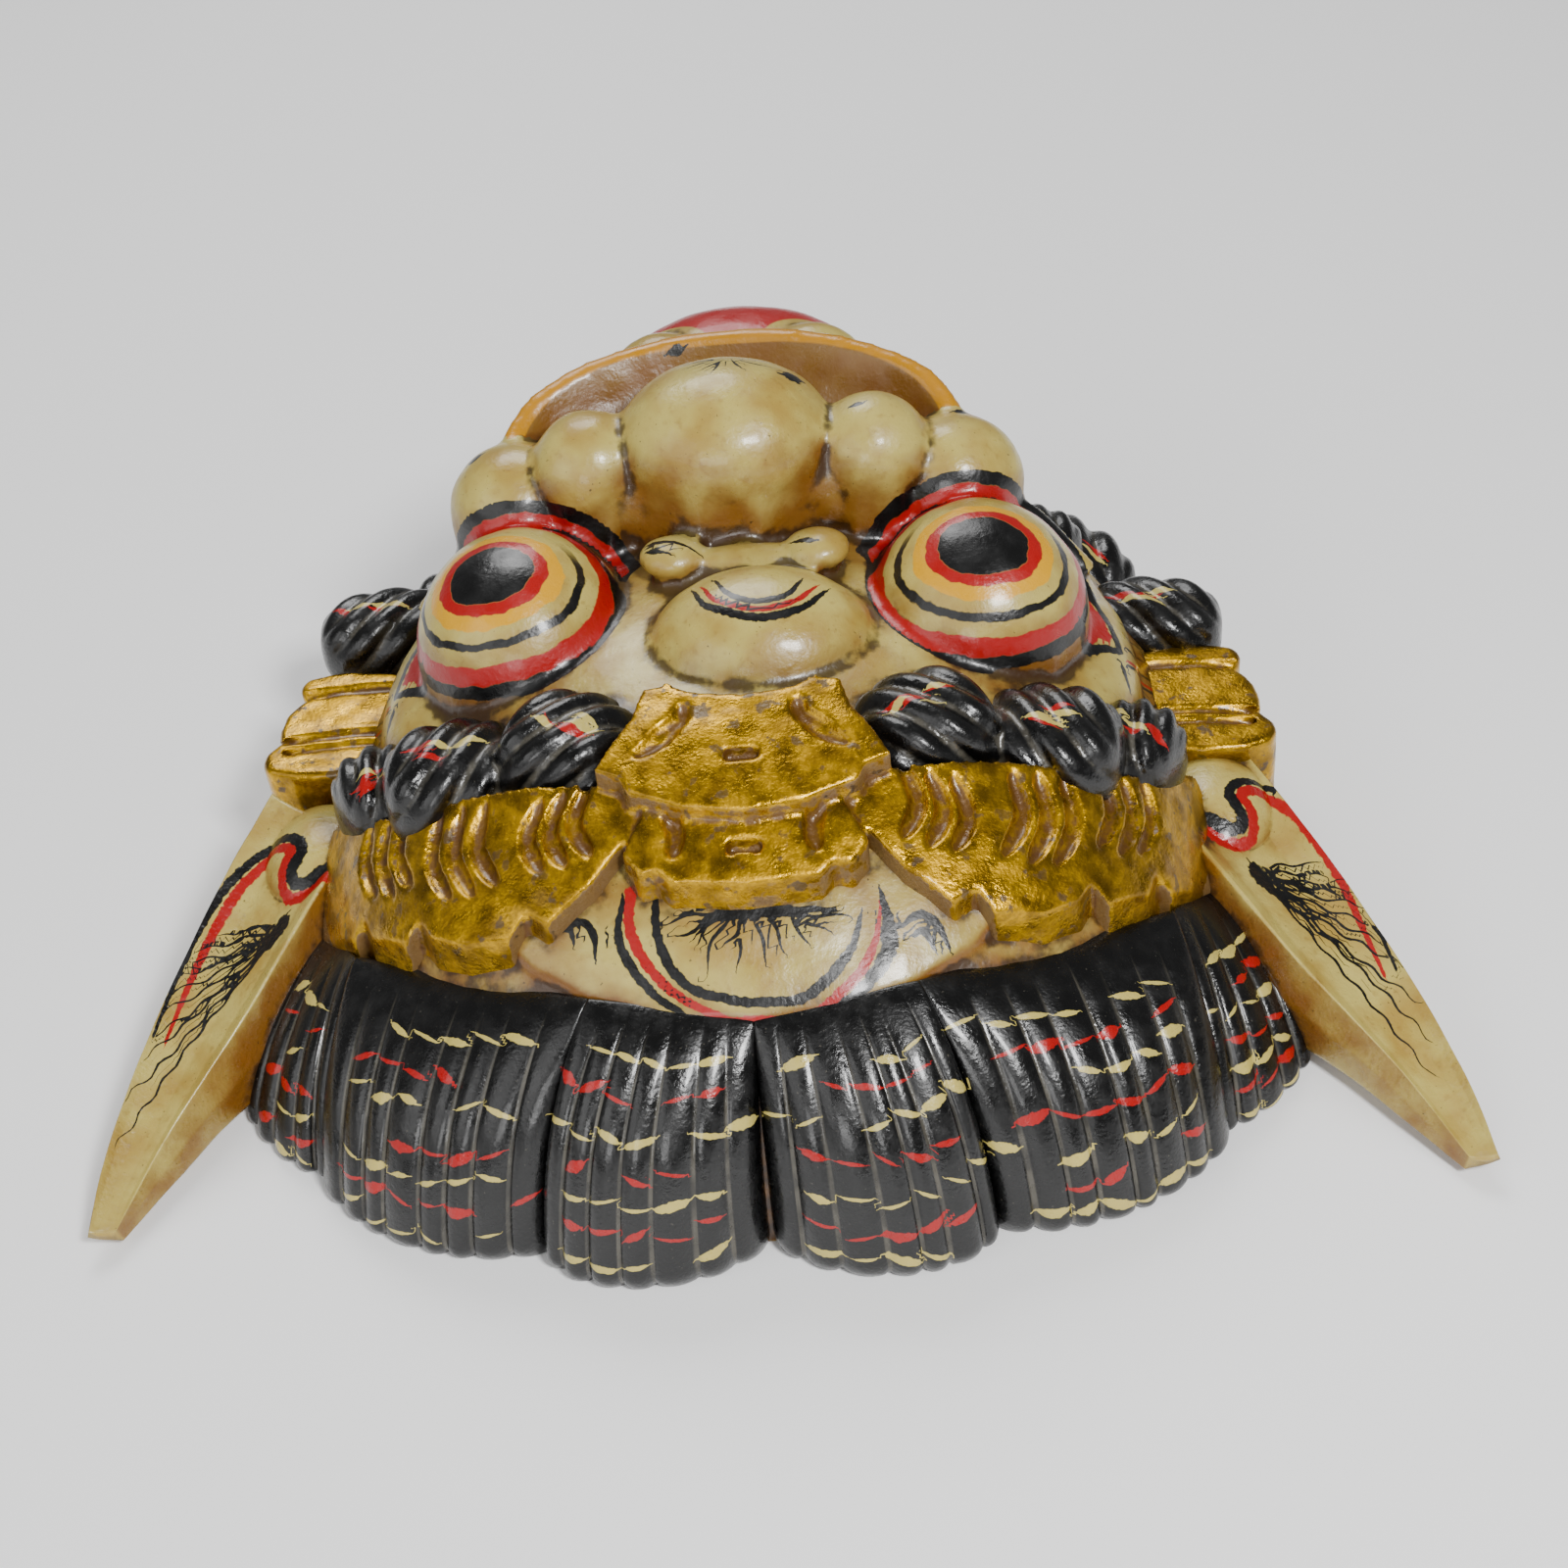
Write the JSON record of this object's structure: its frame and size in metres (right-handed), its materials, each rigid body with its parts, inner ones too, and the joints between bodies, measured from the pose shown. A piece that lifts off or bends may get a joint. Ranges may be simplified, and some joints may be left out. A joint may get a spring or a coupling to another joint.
{
  "type": "carved mask",
  "caption": "Carved and painted wooden barong mask with bulging eyes, gilt diadem, fringe of black locks, pointed ears and a hollow back, lying face up on its rim.",
  "frame": {"origin": "on the surface the mask lies on, under the middle of its bounding box", "axes": "+Z out of the face, away from the hollow back; +Y from the crown of the head towards the chin; +X towards the right-hand side of someone who looks at the face from the crown end"},
  "size_m": [0.3274, 0.2752, 0.129],
  "materials": {
    "painted_wood": "carved wood under aged cream, black, red and gold-leaf paint with a glossy brown antique varnish; bare wood inside"
  },
  "bodies": {
    "root": {"mask": "painted_wood"}
  },
  "joints": []
}
